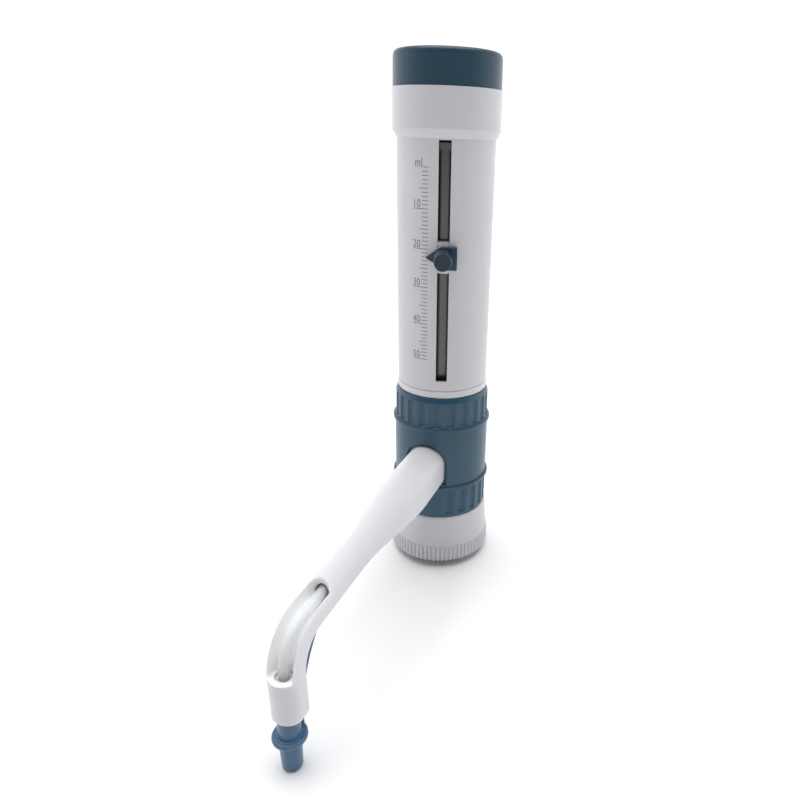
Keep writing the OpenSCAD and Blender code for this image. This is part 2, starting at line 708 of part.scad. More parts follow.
// Bar of radius r along the tube's path: a falling straight run, a round bend and a short drop
function tube_ring(r, p, turn) =
    [for (a = [0 : 15 : 345]) [p[0] + r * sin(a) * sin(turn), r * cos(a), p[1] + r * sin(a) * cos(turn)]];
module tube_bar(r, extra) {
    start = nut_in + seat_gap - extra;
    loft(concat(
        [tube_ring(r, [start, arm_axis_z(start)], arm_fall)],
        [for (i = [0 : 12]) let (turn = arm_fall + i * (90 - arm_fall) / 12)
            tube_ring(r, tube_centre + tube_bend_r * [sin(turn), cos(turn)], turn)],
        [tube_ring(r, [arm_reach, tube_foot - extra], 90)]));
}

module discharge_tube() {
    color(CLEAR) at_arm() difference() {
        tube_bar(tube_r, 0);
        tube_bar(tube_r - tube_wall, 1);
    }
}

// Solid through a list of rings that have the same number of points
module loft(rings) {
    count = len(rings[0]);
    last = len(rings) - 1;
    polyhedron(
        points = [for (ring = rings) each ring],
        faces = concat(
            [[for (j = [0 : count - 1]) j]],
            [for (i = [0 : last - 1], j = [0 : count - 1])
                [i * count + j, (i + 1) * count + j,
                 (i + 1) * count + (j + 1) % count, i * count + (j + 1) % count]],
            [[for (j = [0 : count - 1]) last * count + count - 1 - j]]),
        convexity = 6);
}

module arm_skin() {
    loft([for (s = concat(
        [for (i = [0 : 14]) run_l * i / 15],
        [for (i = [0 : 12]) run_l + bend_l * i / 12],
        [path_l])) arm_ring(s)]);
}

// Open groove over the bend, with a round end, down to the rim of the nozzle block
function groove_outline() = let (mid = groove_half_w - groove_floor, top = 3 * slim_w) concat(
    [[groove_half_w, top], [-groove_half_w, top]],
    [for (a = [180 : 15 : 360]) [groove_half_w * cos(a), mid + groove_half_w * sin(a)]]);
function groove_ring(s) = let (p = arm_point(s), turn = bend_turn(s))
    [for (q = groove_outline()) [p[0] + q[1] * sin(turn), q[0], p[1] + q[1] * cos(turn)]];

module groove_cut() {
    intersection() {
        loft([for (s = concat([run_l - groove_run], [for (i = [0 : 12]) run_l + bend_l * i / 12]))
            groove_ring(s)]);
        translate([0, -FAR / 2, nozzle_rim]) cube([FAR, FAR, FAR]);
    }
    start = arm_point(run_l - groove_run);
    translate([start[0], 0, start[1]]) cylinder(r = groove_half_w - EPS, h = 3 * slim_h);
}

module arm_housing() {
    color(WHITE) difference() {
        at_arm() arm_skin();
        cylinder(r = core_r + seat_gap, h = FAR);
        at_arm_run() cylinder(r = tube_nut_r + nut_room, h = nut_out - arm_start + 1);
        at_arm_run() cylinder(r = tunnel_r, h = run_l - groove_run / 2);
        at_arm() translate([arm_reach, 0, nozzle_foot - 1])
            cylinder(r = nozzle_r + seat_gap, h = nozzle_rim - nozzle_foot + 1 + EPS);
        at_arm() groove_cut();
    }
}

module nozzle() {
    color(WHITE) at_arm() translate([arm_reach, 0, 0]) difference() {
        union() {
            translate([0, 0, nozzle_end + 2]) cylinder(r = nozzle_r, h = nozzle_top - nozzle_end - 2);
            translate([0, 0, nozzle_end]) cylinder(r1 = nozzle_r - 0.6, r2 = nozzle_r, h = 2);
        }
        translate([0, 0, nozzle_end - 1]) cylinder(r = outlet_r, h = nozzle_top);
        translate([0, 0, spring_foot - 0.05]) cylinder(r = chamber_r, h = nozzle_top);
        translate([0, 0, tube_foot]) cylinder(r = tube_r + seat_gap, h = nozzle_top);
    }
}

module outlet_seat() {
    color(WHITE) at_arm() translate([arm_reach, 0, plug_z]) tube(chamber_r - 0.05, outlet_r, seat_plug_h);
}

module outlet_ball() {
    color("#f4efe2") at_arm() translate([arm_reach, 0, outlet_ball_z]) sphere(r = outlet_ball_r);
}

// Spring under the outlet ball: one round wire swept along a helix
module outlet_spring() {
    mean_r = chamber_r - spring_wire - spring_gap;
    sides = 6;
    per_turn = 14;
    last = spring_turns * per_turn;
    rise = spring_h - 2 * spring_wire;
    points = [for (i = [0 : last], j = [0 : sides - 1])
        let (a = 360 * i / per_turn, b = 360 * j / sides, q = mean_r + spring_wire * cos(b))
        [q * cos(a), q * sin(a), spring_wire + rise * i / last + spring_wire * sin(b)]];
    color(STEEL) at_arm() translate([arm_reach, 0, spring_foot]) polyhedron(
        points = points,
        faces = concat(
            [[for (j = [0 : sides - 1]) j]],
            [for (i = [0 : last - 1], j = [0 : sides - 1])
                [i * sides + j, i * sides + (j + 1) % sides,
                 (i + 1) * sides + (j + 1) % sides, (i + 1) * sides + j]],
            [[for (j = [0 : sides - 1]) last * sides + sides - 1 - j]]),
        convexity = 10);
}

module nozzle_cap() {
    tip_r = cap_body_r - nozzle_cap_taper;
    color(BLUE) at_arm() translate([arm_reach, 0, cap_rim - nozzle_cap_l]) difference() {
        rotate_extrude() union() {
            polygon([[0, 0], [tip_r - nozzle_cap_round, 0], [tip_r, nozzle_cap_round],
                     [cap_body_r, nozzle_cap_l], [cap_body_r - hub_taper, nozzle_cap_l + hub_h],
                     [0, nozzle_cap_l + hub_h]]);
            translate([tip_r - nozzle_cap_round, nozzle_cap_round]) circle(r = nozzle_cap_round, $fn = 32);
            translate([0, nozzle_cap_l - flange_h]) square([flange_r - flange_h / 2, flange_h]);
            translate([flange_r - flange_h / 2, nozzle_cap_l - flange_h / 2])
                circle(r = flange_h / 2, $fn = 32);
        }
        translate([0, 0, nozzle_cap_l - cap_grip - 2]) cylinder(r = cap_bore, h = cap_grip + hub_h + 3);
    }
}

// Strap: a pad under the arm, then a strip that leans out and hangs down to the cap's flange
function strap_point(t) = let (u = 1 - t) u * u * u * strap_top + 3 * u * u * t * strap_out
    + 3 * u * t * t * strap_over + t * t * t * strap_end;
function strap_heading(t) = let (u = 1 - t, d = u * u * (strap_out - strap_top)
    + 2 * u * t * (strap_over - strap_out) + t * t * (strap_end - strap_over)) atan2(-d[1], d[0]);
function strap_ring(p, turn) = let (w = strap_w / 2, t = strap_t / 2)
    [for (q = [[-w, -t], [w, -t], [w, t], [-w, t]])
        [p[0] + q[1] * sin(turn), q[0], p[1] + q[1] * cos(turn)]];

module cap_strap() {
    steps = 16;
    color(BLUE) at_arm() loft(concat(
        [strap_ring(strap_top - strap_pad * [cos(arm_fall), -sin(arm_fall)], arm_fall)],
        [strap_ring(strap_top, (arm_fall + strap_lean) / 2)],
        [for (i = [1 : steps]) strap_ring(strap_point(i / steps), strap_heading(i / steps))]));
}

module outer_sleeve() {
    color(WHITE) difference() {
        translate([0, 0, sleeve_z]) tube(sleeve_r, sleeve_in, sleeve_h);
        translate([-slot_w / 2, -sleeve_r - 1, slot_z]) cube([slot_w, sleeve_r / 2, slot_h]);
    }
}

module sleeve_head() {
    color(WHITE) difference() {
        translate([0, 0, head_z]) rotate_extrude() polygon([
            [sleeve_in, 0], [sleeve_r + 0.3, 0], [head_r, head_bevel_h], [head_r, head_h - 0.3],
            [head_r - 0.3, head_h], [sleeve_in, head_h]]);
        translate([0, 0, head_z - 1]) cylinder(r = sleeve_r + seat_gap, h = head_overlap + 1 + seat_gap);
    }
}

module top_cap() {
    top_r = cap_r - cap_taper;
    spigot_out = sleeve_in - seat_gap;
    cavity = spigot_out - cap_spigot_wall;
    color(SLATE) difference() {
        union() {
            translate([0, 0, head_top]) rotate_extrude() union() {
                polygon([[0, 0], [cap_r, 0], [top_r, cap_h - cap_round], [top_r - cap_round, cap_h], [0, cap_h]]);
                translate([top_r - cap_round, cap_h - cap_round]) circle(r = cap_round);
            }
            translate([0, 0, head_top - cap_spigot_h]) cylinder(r = spigot_out, h = cap_spigot_h + 1);
        }
        difference() {
            translate([0, 0, head_top - cap_spigot_h - 1])
                cylinder(r = cavity, h = cap_spigot_h + 1 + cap_h - cap_top_h);
            translate([0, 0, head_top - cap_boss_drop]) cylinder(r = cap_boss_r, h = cap_h);
        }
        translate([0, 0, head_top - 2])
            cylinder(r = rod_r + seat_gap / 2, h = rod_top + seat_gap - head_top + 2);
    }
}

module piston_rod() {
    color(WHITE) translate([0, 0, rod_z + seat_gap]) cylinder(r = rod_r, h = rod_top - rod_z - seat_gap);
}

module rod_nut() {
    color(STEEL) translate([0, 0, rod_nut_z]) difference() {
        cylinder(r = rod_nut_r, h = rod_nut_h, $fn = 6);
        translate([0, 0, -1]) cylinder(r = rod_r + seat_gap / 2, h = rod_nut_h + 2);
    }
}

module piston() {
    color(WHITE) translate([0, 0, piston_z]) difference() {
        union() {
            cylinder(r1 = piston_r - 0.8, r2 = piston_r, h = 0.8);
            translate([0, 0, 0.8]) cylinder(r = piston_r, h = piston_h - 0.8);
            translate([0, 0, piston_h - 1]) cylinder(r = piston_boss_r, h = piston_boss_h + 1);
        }
        translate([0, 0, seal_z - piston_z]) tube(piston_r + 1, piston_r - seal_groove, seal_h + seat_gap);
        translate([0, 0, piston_h + piston_boss_h - rod_hole_h]) cylinder(r = rod_r + seat_gap / 2, h = FAR);
    }
}

module piston_seal() {
    color(CLEAR) translate([0, 0, seal_z + seat_gap / 2])
        tube(cylinder_bore_r - seal_gap, piston_r - seal_groove + seat_gap / 2, seal_h);
}

// A rectangle with round corners, centred on the origin
module rounded_rect(w, h, r) {
    square([w - 2 * r, h], center = true);
    square([w, h - 2 * r], center = true);
    for (x = [-1, 1], y = [-1, 1])
        translate([x * (w / 2 - r), y * (h / 2 - r)]) circle(r = r, $fn = 24);
}

module pointer_plate() {
    face = sleeve_r + plate_proud;
    color(SLATE) difference() {
        union() {
            translate([0, 0, pointer_z]) rotate([90, 0, 0])
                linear_extrude(face) rounded_rect(2 * plate_half_w, plate_h, plate_round);
            translate([0, -sleeve_r - slip_gap, pointer_z]) rotate([90, 0, 0]) linear_extrude(tip_t) polygon([
                [-plate_half_w + 1, tip_h / 2], [-plate_half_w, tip_h / 2], [-plate_half_w - tip_l, 0],
                [-plate_half_w, -tip_h / 2], [-plate_half_w + 1, -tip_h / 2]]);
        }
        translate([0, 0, pointer_z - plate_h]) cylinder(r = sleeve_r + slip_gap, h = 2 * plate_h);
        translate([0, 0, pointer_z]) rotate([90, 0, 0]) cylinder(r = screw_r + shaft_gap, h = face + 1);
    }
}

module stop_carrier() {
    inner = carrier_in;
    color(WHITE) translate([0, 0, pointer_z - carrier_h / 2]) difference() {
        union() {
            intersection() {
                tube(sleeve_in - slip_gap, inner, carrier_h);
                translate([-carrier_half_w, -FAR, 0]) cube([2 * carrier_half_w, FAR, carrier_h]);
            }
            intersection() {
                cylinder(r = sleeve_r + slip_gap - seat_gap, h = carrier_h);
                translate([-slot_w / 2 + face_gap, -FAR, 0])
                    cube([slot_w - 2 * face_gap, FAR - sleeve_in + 1, carrier_h]);
            }
        }
        translate([0, 0, carrier_h / 2]) rotate([90, 0, 0]) translate([0, 0, inner + screw_wall])
            cylinder(r = screw_r + shaft_gap, h = sleeve_r);
    }
}

module clamp_screw() {
    start = carrier_in + screw_wall + face_gap;
    end = sleeve_r + plate_proud + screw_hold;
    color(STEEL) translate([0, 0, pointer_z]) rotate([90, 0, 0])
        translate([0, 0, start]) cylinder(r = screw_r, h = end - start);
}

module clamp_knob() {
    back = sleeve_r + plate_proud + seat_gap;
    end = sleeve_r + plate_proud + screw_hold;
    color(SLATE) translate([0, 0, pointer_z]) rotate([90, 0, 0]) difference() {
        translate([0, 0, back]) rotate_extrude() union() {
            polygon([[0, 0], [knob_r - 0.3, 0], [knob_r, 0.3], [knob_front_r, knob_l - knob_edge],
                     [knob_front_r - knob_edge, knob_l], [0, knob_l]]);
            translate([knob_front_r - knob_edge, knob_l - knob_edge]) circle(r = knob_edge, $fn = 24);
        }
        translate([0, 0, back - 1]) cylinder(r = screw_r + 0.02, h = end - back + 1 + seat_gap);
    }
}

bottle_adapter();
bottle_gasket();
retaining_clip();
swivel_collar();
valve_core();
neck_o_ring();
block_shell();
inlet_insert();
inlet_ball();
inlet_ball_stop();
cylinder_gasket();
measuring_cylinder();
cylinder_guard();
lift_stop_ring();
ring_nut();
seat_ring();
tube_nut();
discharge_tube();
arm_housing();
nozzle();
outlet_seat();
outlet_ball();
outlet_spring();
cap_strap();
nozzle_cap();
outer_sleeve();
sleeve_head();
top_cap();
piston_rod();
rod_nut();
piston();
piston_seal();
pointer_plate();
stop_carrier();
clamp_screw();
clamp_knob();
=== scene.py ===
"""Looks of the bottle-top dispenser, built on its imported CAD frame.

Lengths are in millimetres until mm() turns them into metres. The frame is the part's own: +Z is up and
the sleeve's slot faces -Y.
"""

import json
import math

import bmesh
import bpy
from mathutils import Matrix, Vector


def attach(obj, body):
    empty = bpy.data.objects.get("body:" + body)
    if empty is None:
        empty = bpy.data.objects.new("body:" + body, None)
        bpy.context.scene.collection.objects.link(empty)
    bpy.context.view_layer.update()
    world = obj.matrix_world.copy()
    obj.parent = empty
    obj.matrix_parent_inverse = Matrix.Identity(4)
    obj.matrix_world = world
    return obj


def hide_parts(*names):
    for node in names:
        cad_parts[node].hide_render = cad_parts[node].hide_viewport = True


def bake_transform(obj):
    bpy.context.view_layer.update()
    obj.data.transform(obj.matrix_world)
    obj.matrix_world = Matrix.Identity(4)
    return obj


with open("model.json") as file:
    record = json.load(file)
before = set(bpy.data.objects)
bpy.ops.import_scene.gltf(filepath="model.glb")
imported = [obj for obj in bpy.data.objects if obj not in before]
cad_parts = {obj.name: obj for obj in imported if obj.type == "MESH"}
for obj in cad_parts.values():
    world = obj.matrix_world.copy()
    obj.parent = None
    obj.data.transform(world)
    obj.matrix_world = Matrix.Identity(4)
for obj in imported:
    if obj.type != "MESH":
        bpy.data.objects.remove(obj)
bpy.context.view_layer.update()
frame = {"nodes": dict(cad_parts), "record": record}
nodes = frame["nodes"]

# Sizes shared with the part's source
ARM_TURN = 18.7  # degrees to the left of the slot
BLOCK_Z, CORE_R, BLOCK_R, SHELL_TOP = 43.5, 20.6, 24.8, 76.2
COLLAR_Z, NUT_Z, NUT_R, NUT_H = 26.7, 76.4, 24.35, 18.1
FLUTES = 22
SLEEVE_R, SLEEVE_IN, SLEEVE_Z, SLEEVE_H = 23.0, 21.5, 98.5, 134.5
SLOT_W, SLOT_Z, SLOT_H = 5.5, 103.6, 110.9
HEAD_Z, HEAD_R, HEAD_H, CAP_R, CAP_H = 215.2, 25.0, 20.4, 24.55, 14.9
ZERO_Z, ML_H = 203.35, 1000 / (math.pi * 13.4**2)
POINTER_Z = ZERO_Z - 22 * ML_H

ARM_Z, ARM_START, ARM_FALL, ARM_REACH = 57.8, 18.6, 1.5, 156.7
BEND_R, NOZZLE_DROP, NOZZLE_BLOCK_H = 16.25, 17.8, 19.0
ROOT, SLIM, BLOCK = (9.9, 9.9, 9.8), (6.3, 6.2, 4.6), (6.25, 5.0, 5.2)  # half width, back height, depth
TUBE_R, TUBE_WALL, TUBE_BEND_R, TUBE_END_Z = 2.0, 0.7, 13.4, 35.5
GROOVE_W, GROOVE_FLOOR, GROOVE_RUN = 5.1, 3.2, 7.5


def mm(*values):
    return Vector([v * 0.001 for v in values])


def smooth(a, b, t):
    t = max(0.0, min(1.0, t))
    return a + (b - a) * t * t * (3 - 2 * t)


def make_camera():
    """The photograph's own view: the values come from matching the rings, the sleeve and the scale."""
    psi, pitch, roll, turn = -0.0509, 0.3925, -0.0377, math.radians(1.3)
    distance, height = 322.91, 217.60
    focal_pixels, image_pixels = 648.1989, 800
    forward = Vector((-math.sin(psi) * math.cos(pitch), math.cos(psi) * math.cos(pitch), -math.sin(pitch)))
    level = Vector((math.cos(psi), math.sin(psi), 0))
    down = forward.cross(level)
    right = math.cos(roll) * level + math.sin(roll) * down
    up = math.sin(roll) * level - math.cos(roll) * down
    rotation = Matrix((right, up, -forward)).transposed().to_4x4()
    data = bpy.data.cameras.new("camera")
    data.sensor_width = 36
    data.lens = focal_pixels / image_pixels * data.sensor_width
    data.shift_x, data.shift_y = -0.0904, 0.0024
    data.clip_start, data.clip_end = 0.01, 60
    camera = bpy.data.objects.new("camera", data)
    stand = Matrix.Translation(mm(0, -distance, height))
    camera.matrix_world = Matrix.Rotation(turn, 4, "Z") @ stand @ rotation
    bpy.context.scene.collection.objects.link(camera)
    bpy.context.scene.camera = camera


def noise(tree, scale, detail):
    where = tree.nodes.new("ShaderNodeTexCoord")
    texture = tree.nodes.new("ShaderNodeTexNoise")
    texture.inputs["Scale"].default_value = scale
    texture.inputs["Detail"].default_value = detail
    tree.links.new(where.outputs["Object"], texture.inputs["Vector"])
    return texture.outputs["Fac"]


TONE_SCALE, POLISH_SCALE, GRAIN_SCALE = 45, 160, 1900  # noise cells per metre


def moulded(name, colour, shade, roughness, rough_span=0.08, grain=0.03, coat=0.0, **sockets):
    """Moulded plastic: a slow change of tone, a fine grain in the bump and a slightly uneven polish.

    shade is the darker tone's share of the colour; sockets are the shader's own, with _ for a space.
    """
    material = bpy.data.materials.new(name)
    material.use_nodes = True
    tree = material.node_tree
    bsdf = tree.nodes["Principled BSDF"]
    tone = tree.nodes.new("ShaderNodeMix")
    tone.data_type = "RGBA"
    tone.inputs["A"].default_value = (*colour, 1)
    tone.inputs["B"].default_value = (*(c * shade for c in colour), 1)
    tree.links.new(noise(tree, TONE_SCALE, 2.0), tone.inputs["Factor"])
    tree.links.new(tone.outputs["Result"], bsdf.inputs["Base Color"])
    polish = tree.nodes.new("ShaderNodeMapRange")
    polish.inputs["To Min"].default_value = roughness - rough_span / 2
    polish.inputs["To Max"].default_value = roughness + rough_span / 2
    tree.links.new(noise(tree, POLISH_SCALE, 4.0), polish.inputs["Value"])
    tree.links.new(polish.outputs["Result"], bsdf.inputs["Roughness"])
    bump = tree.nodes.new("ShaderNodeBump")
    bump.inputs["Strength"].default_value = grain
    bump.inputs["Distance"].default_value = 0.0002
    tree.links.new(noise(tree, GRAIN_SCALE, 2.0), bump.inputs["Height"])
    tree.links.new(bump.outputs["Normal"], bsdf.inputs["Normal"])
    bsdf.inputs["Coat Weight"].default_value = coat
    bsdf.inputs["Coat Roughness"].default_value = 0.12
    for socket, value in sockets.items():
        bsdf.inputs[socket.replace("_", " ")].default_value = value
    return material


MATERIALS = {
    "white_plastic": moulded("white_plastic", (0.61, 0.61, 0.635), 0.97, 0.36, coat=0.1),
    "slate_plastic": moulded(
        "slate_plastic", (0.026, 0.064, 0.102), 0.82, 0.34, grain=0.08, Specular_IOR_Level=0.3
    ),
    "smoked_plastic": moulded("smoked_plastic", (0.034, 0.032, 0.034), 0.8, 0.2, IOR=1.8),
    "white_fluoropolymer": moulded("white_fluoropolymer", (0.74, 0.74, 0.73), 0.96, 0.45),
    "ceramic_ball": moulded("ceramic_ball", (0.76, 0.72, 0.62), 0.97, 0.12, grain=0.0, coat=0.6),
    "rubber": moulded("rubber", (0.02, 0.02, 0.022), 0.8, 0.6, grain=0.12),
    "steel": moulded("steel", (0.55, 0.56, 0.58), 0.9, 0.28, Metallic=1.0),
    "blue_cap": moulded("blue_cap", (0.085, 0.19, 0.33), 0.75, 0.26, Transmission_Weight=0.2, IOR=1.45),
    "clear_plastic": moulded("clear_plastic", (0.93, 0.95, 0.96), 0.97, 0.12, grain=0.0, IOR=1.42),
    "borosilicate_glass": moulded(
        "borosilicate_glass",
        (0.95, 0.98, 0.98),
        0.99,
        0.04,
        0.02,
        grain=0.0,
        Transmission_Weight=1.0,
        IOR=1.47,
    ),
}


def see_through(material, facing, edge):
    """A thin clear wall: nearly open where it is met head on, and fuller towards its edges."""
    tree = material.node_tree
    weight = tree.nodes.new("ShaderNodeLayerWeight")
    weight.inputs["Blend"].default_value = 0.35
    span = tree.nodes.new("ShaderNodeMapRange")
    span.inputs["From Min"].default_value = 0.3
    span.inputs["To Min"].default_value, span.inputs["To Max"].default_value = facing, edge
    tree.links.new(weight.outputs["Facing"], span.inputs["Value"])
    tree.links.new(span.outputs["Result"], tree.nodes["Principled BSDF"].inputs["Alpha"])


def paler_below(material, colour, top, foot):
    """Fades a material to another colour from one height down to a lower one: painted light on the lower
    part.
    """
    tree = material.node_tree
    bsdf = tree.nodes["Principled BSDF"]
    where = tree.nodes.new("ShaderNodeTexCoord")
    split = tree.nodes.new("ShaderNodeSeparateXYZ")
    span = tree.nodes.new("ShaderNodeMapRange")
    span.inputs["From Min"].default_value, span.inputs["From Max"].default_value = top, foot
    fade = tree.nodes.new("ShaderNodeMix")
    fade.data_type = "RGBA"
    fade.inputs["B"].default_value = (*colour, 1)
    tree.links.new(where.outputs["Object"], split.inputs["Vector"])
    tree.links.new(split.outputs["Z"], span.inputs["Value"])
    tree.links.new(span.outputs["Result"], fade.inputs["Factor"])
    tree.links.new(bsdf.inputs["Base Color"].links[0].from_socket, fade.inputs["A"])
    tree.links.new(fade.outputs["Result"], bsdf.inputs["Base Color"])


see_through(MATERIALS["clear_plastic"], 0.4, 0.95)
# The smoked guard, painted paler towards the slot's bottom: painted reflected light, not the plastic's own
# tone.
paler_below(MATERIALS["smoked_plastic"], (0.062, 0.066, 0.07), 0.19, 0.11)

# Lighter and darker copies of the slots' materials for some pieces, which paint light and shade on them, and
# the scale's ink
SOFT = {"coat": 0.1, "Subsurface_Weight": 0.6, "Subsurface_Scale": 0.003, "Subsurface_Radius": (1, 1, 1)}
# A lighter copy of the white plastic: on the arm partly a paler plastic and partly painted light, on the seat
# ring painted light on its lit ledge.
PAINTED_LIGHT_WHITE = moulded("painted_light_white_plastic", (0.67, 0.67, 0.695), 0.97, 0.36, **SOFT)
# Painted light: a near-white copy for the groove's walls and floor, lighter to undo the shade that falls in
# the groove.
GROOVE_PAINTED_LIGHT = moulded("groove_painted_light", (0.95, 0.95, 0.96), 0.98, 0.3, **SOFT)
# Painted light: a lighter copy of the slate for the rings and the shell, standing in for the light that the
# pale floor throws up on them; its stronger gloss is the plastic's own.
PAINTED_LIGHT_SLATE = moulded("painted_light_slate", (0.026, 0.087, 0.144), 0.82, 0.32, grain=0.06, Specular_IOR_Level=0.45)
# Painted shade: a darker copy of the slate for the knob, whose face looks at the dim front.
PAINTED_SHADE_SLATE = moulded("painted_shade_slate", (0.013, 0.036, 0.058), 0.8, 0.3, grain=0.06, Specular_IOR_Level=0.3)
INK = moulded("scale_ink", (0.17, 0.17, 0.18), 0.9, 0.5, grain=0.0)
SLOT_OF = {s["node"]: s["material_slot"] for s in frame["record"]["subparts"]}


def dress(obj, slot):
    obj.data.materials.clear()
    obj.data.materials.append(MATERIALS[slot])


def finished(name, mesh, slot, smooth_angle):
    """An object from a mesh in metres in the part's frame, shaded smooth but for its sharp edges."""
    mesh.name = name
    mesh.shade_smooth()
    mesh.set_sharp_from_angle(angle=math.radians(smooth_angle))
    obj = loose(mesh)
    dress(obj, slot)
    return obj


def place(name, mesh, body, slot, *replaced, smooth_angle=35):
    """Finishes a mesh, puts it on its CAD body and hides the nodes that it stands for."""
    obj = finished(name, mesh, slot, smooth_angle)
    if smooth_angle < 180:
        obj.modifiers.new("even_shading", "WEIGHTED_NORMAL").keep_sharp = True
    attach(obj, body)
    if replaced:
        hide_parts(*replaced)
    return obj


def repaint(obj, material):
    """Another material for one piece: the scale's ink, or a lighter or darker copy of its slot's material
    that paints light and shade; its slot stays.
    """
    obj.data.materials.clear()
    obj.data.materials.append(material)


def mesh_from(name, vertices, faces):
    mesh = bpy.data.meshes.new(name)
    mesh.from_pydata([mm(*v) for v in vertices], [], faces)
    bm = bmesh.new()
    bm.from_mesh(mesh)
    bmesh.ops.recalc_face_normals(bm, faces=bm.faces)
    bm.to_mesh(mesh)
    bm.free()
    return mesh


def band_faces(rows, count, closed):
    """Faces between rows of count points each; closed joins the last row to the first as well."""
    faces = []
    for i in range(rows if closed else rows - 1):
        here, there = i * count, (i + 1) % rows * count
        for j in range(count):
            k = (j + 1) % count
            faces.append((here + j, there + j, there + k, here + k))
    return faces


def loft(name, rings):
    """Closed skin through rings that have the same number of points."""
    count = len(rings[0])
    last = (len(rings) - 1) * count
    faces = band_faces(len(rings), count, closed=False)
    faces += [tuple(range(count)), tuple(range(last, last + count))]
    return mesh_from(name, [v for ring in rings for v in ring], faces)


def rounded(corners, steps=4):
    """Closed outline through (a, b, radius) corners, with each corner rounded."""
    points = []
    for i, (x, y, radius) in enumerate(corners):
        if radius <= 0:
            points.append((x, y))
            continue
        here = Vector((x, y))
        before = Vector(corners[i - 1][:2]) - here
        after = Vector(corners[(i + 1) % len(corners)][:2]) - here
        reach = min(radius / math.tan(before.angle(after) / 2), 0.49 * before.length, 0.49 * after.length)
        start, end = here + before.normalized() * reach, here + after.normalized() * reach
        for k in range(steps + 1):
            t = k / steps
            points.append(tuple((1 - t) ** 2 * start + 2 * t * (1 - t) * here + t * t * end))
    return points


def revolve(name, outline, steps=160, radius_of=None):
    """A closed (r, z) outline turned about the axis; radius_of(r, z, angle) may move each of its points."""
    vertices = []
    for i in range(steps):
        a = 2 * math.pi * i / steps
        for r, z in outline:
            q = radius_of(r, z, a) if radius_of else r
            vertices.append((q * math.cos(a), q * math.sin(a), z))
    return mesh_from(name, vertices, band_faces(steps, len(outline), closed=True))


def loose(mesh):
    obj = bpy.data.objects.new(mesh.name, mesh)
    bpy.context.scene.collection.objects.link(obj)
    return obj


def taken(obj):
    """The mesh that an object's modifiers make; the object goes."""
    bpy.context.view_layer.update()
    mesh = bpy.data.meshes.new_from_object(obj.evaluated_get(bpy.context.evaluated_depsgraph_get()))
    bpy.data.objects.remove(obj)
    return mesh


def cut(mesh, *cutters):
    """A mesh less others."""
    obj = loose(mesh)
    tools = [loose(cutter) for cutter in cutters]
    for tool in tools:
        modifier = obj.modifiers.new("cut", "BOOLEAN")
        modifier.operation, modifier.solver, modifier.object = "DIFFERENCE", "MANIFOLD", tool
    result = taken(obj)
    for tool in tools:
        bpy.data.objects.remove(tool)
    return result


def bevelled(mesh, width, angle=40, segments=2):
    """Softens the sharp edges of a mesh."""
    bm = bmesh.new()
    bm.from_mesh(mesh)
    bmesh.ops.dissolve_limit(bm, angle_limit=math.radians(0.5), verts=bm.verts, edges=bm.edges)
    bm.to_mesh(mesh)
    bm.free()
    obj = loose(mesh)
    bevel = obj.modifiers.new("bevel", "BEVEL")
    bevel.width, bevel.segments, bevel.limit_method = width * 0.001, segments, "ANGLE"
    bevel.angle_limit = math.radians(angle)
    return taken(obj)


def softened(name, node, body, width):
    """A CAD node again, with its edges rounded as moulding leaves them."""
    mesh = nodes[node].data.copy()
    mesh.transform(nodes[node].matrix_world)
    bm = bmesh.new()
    bm.from_mesh(mesh)
    bmesh.ops.remove_doubles(bm, verts=bm.verts, dist=1e-7)
    bm.to_mesh(mesh)
    bm.free()
    return place(name, bevelled(mesh, width), body, SLOT_OF[node], node)


# Fluted rings, shell and adapter
RIDGE = -86.5  # direction of one ridge between two flutes
FLUTE_HALF, FLUTE_DEPTH, FLUTE_FOOT = 2.5, 1.05, 1.3  # half width, depth, height of the round foot
UNDER_ARM = (19, 20, 21)  # flutes that the collar leaves out


def scoop(angle, rise, skip):
    """Depth of the flutes at an angle, at a height above their foot; those in skip are left out."""
    turn = (angle - math.radians(RIDGE)) / (2 * math.pi / FLUTES) % FLUTES
    if int(turn) in skip:
        return 0
    bend = (FLUTE_HALF**2 + FLUTE_DEPTH**2) / (2 * FLUTE_DEPTH)
    off = (turn % 1 - 0.5) * 2 * math.pi * NUT_R / FLUTES
    down = max(0, 1 - rise / FLUTE_FOOT) * FLUTE_HALF
    return max(0, math.sqrt(max(0, bend**2 - off**2 - down**2)) - (bend - FLUTE_DEPTH))


def fluted_ring(name, corners, wall_r, low, high, skip, node):
    """A ring whose wall at wall_r has flutes from low, where they end round, to high."""
    run_out = 0.35

    def radius_of(r, z, a):
        if abs(r - wall_r) > 0.01 or not low < z < high:
            return r
        return r - scoop(a, z - low, skip) * min(1, (high - z) / run_out)

    outline = rounded(corners)
    wall = [i for i, (r, z) in enumerate(outline) if abs(r - wall_r) < 0.01 and z < (low + high) / 2][-1]
    levels = [low + d for d in (0, 0.01, 0.08, 0.2, 0.35, 0.55, 0.8, 1.05, FLUTE_FOOT)] + [(low + high) / 2]
    levels += [high - d for d in (run_out, 0.2, 0.1, 0)]
    outline[wall + 1 : wall + 1] = [(wall_r, z) for z in levels]
    mesh = revolve(name, outline, FLUTES * (36), radius_of)
    # Painted light: the fluted rings in the lighter copy of the slate.
    repaint(place(name, mesh, "valve_block", "slate_plastic", node, smooth_angle=40), PAINTED_LIGHT_SLATE)


